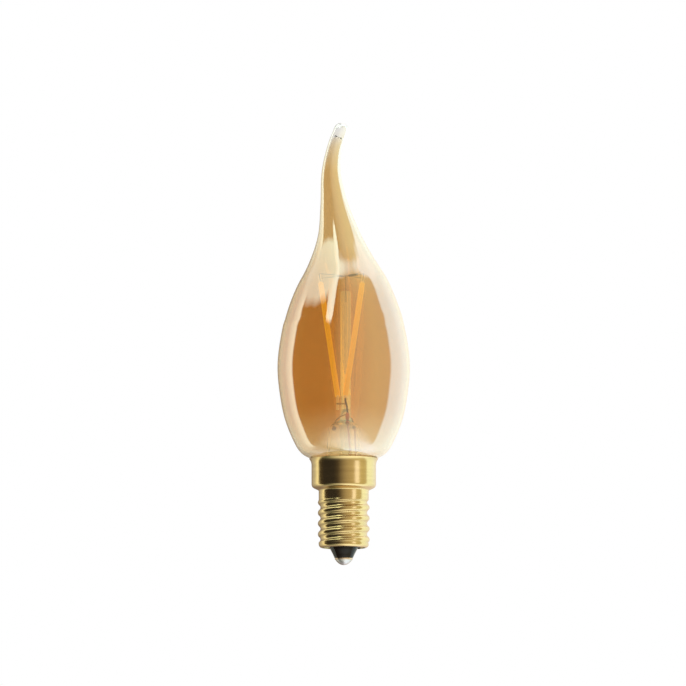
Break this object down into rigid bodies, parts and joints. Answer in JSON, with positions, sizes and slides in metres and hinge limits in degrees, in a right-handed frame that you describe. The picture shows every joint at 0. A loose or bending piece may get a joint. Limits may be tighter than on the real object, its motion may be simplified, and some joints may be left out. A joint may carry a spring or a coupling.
{
  "type": "bent-tip candle bulb",
  "caption": "Flame-shaped amber glass bulb with a bent tip, upright LED filaments on a glass mount and a small brass screw cap.",
  "frame": {"origin": "on the bulb's axis at the outer end of the centre contact, where it meets the lampholder", "axes": "+Z along the cap's axis from the contact to the glass, -X towards the side that the flame tip leans to, -Y towards the viewer of the picture"},
  "size_m": [0.035, 0.035, 0.1174],
  "materials": {
    "cap_brass": "polished, lacquered",
    "contact_metal": "satin",
    "solder": "satin",
    "black_glass": "gloss",
    "amber_glass": "clear, amber tinted",
    "clear_glass": "clear",
    "cement": "matt",
    "phosphor": "matt",
    "strip_metal": "satin",
    "nickel_wire": "satin",
    "bridge_wire": "satin",
    "copper_wire": "satin",
    "board_laminate": "satin",
    "component_black": "matt",
    "capacitor_sleeve": "gloss",
    "resistor_coat": "matt"
  },
  "bodies": {
    "root": {"anchor_wire": "nickel_wire", "basing_cement": "cement", "bridge_rectifier": "component_black", "centre_column": "clear_glass", "centre_contact": "contact_metal", "contact_solder": "solder", "contact_wire": "nickel_wire", "driver_board": "board_laminate", "driver_chip": "component_black", "exhaust_tube": "clear_glass", "filament_bridge": "bridge_wire", "filament_front_left": "phosphor", "filament_front_right": "phosphor", "filament_rear_left": "phosphor", "filament_rear_right": "phosphor", "fusible_resistor": "resistor_coat", "glass_envelope": "amber_glass", "inner_lead_front": "nickel_wire", "inner_lead_rear": "nickel_wire", "insulator": "black_glass", "outer_lead_front": "copper_wire", "outer_lead_rear": "copper_wire", "reservoir_capacitor": "capacitor_sleeve", "screw_cap": "cap_brass", "shell_wire": "copper_wire", "stem_tube": "clear_glass", "strip_front_left": "strip_metal", "strip_front_right": "strip_metal", "strip_rear_left": "strip_metal", "strip_rear_right": "strip_metal"}
  },
  "joints": []
}
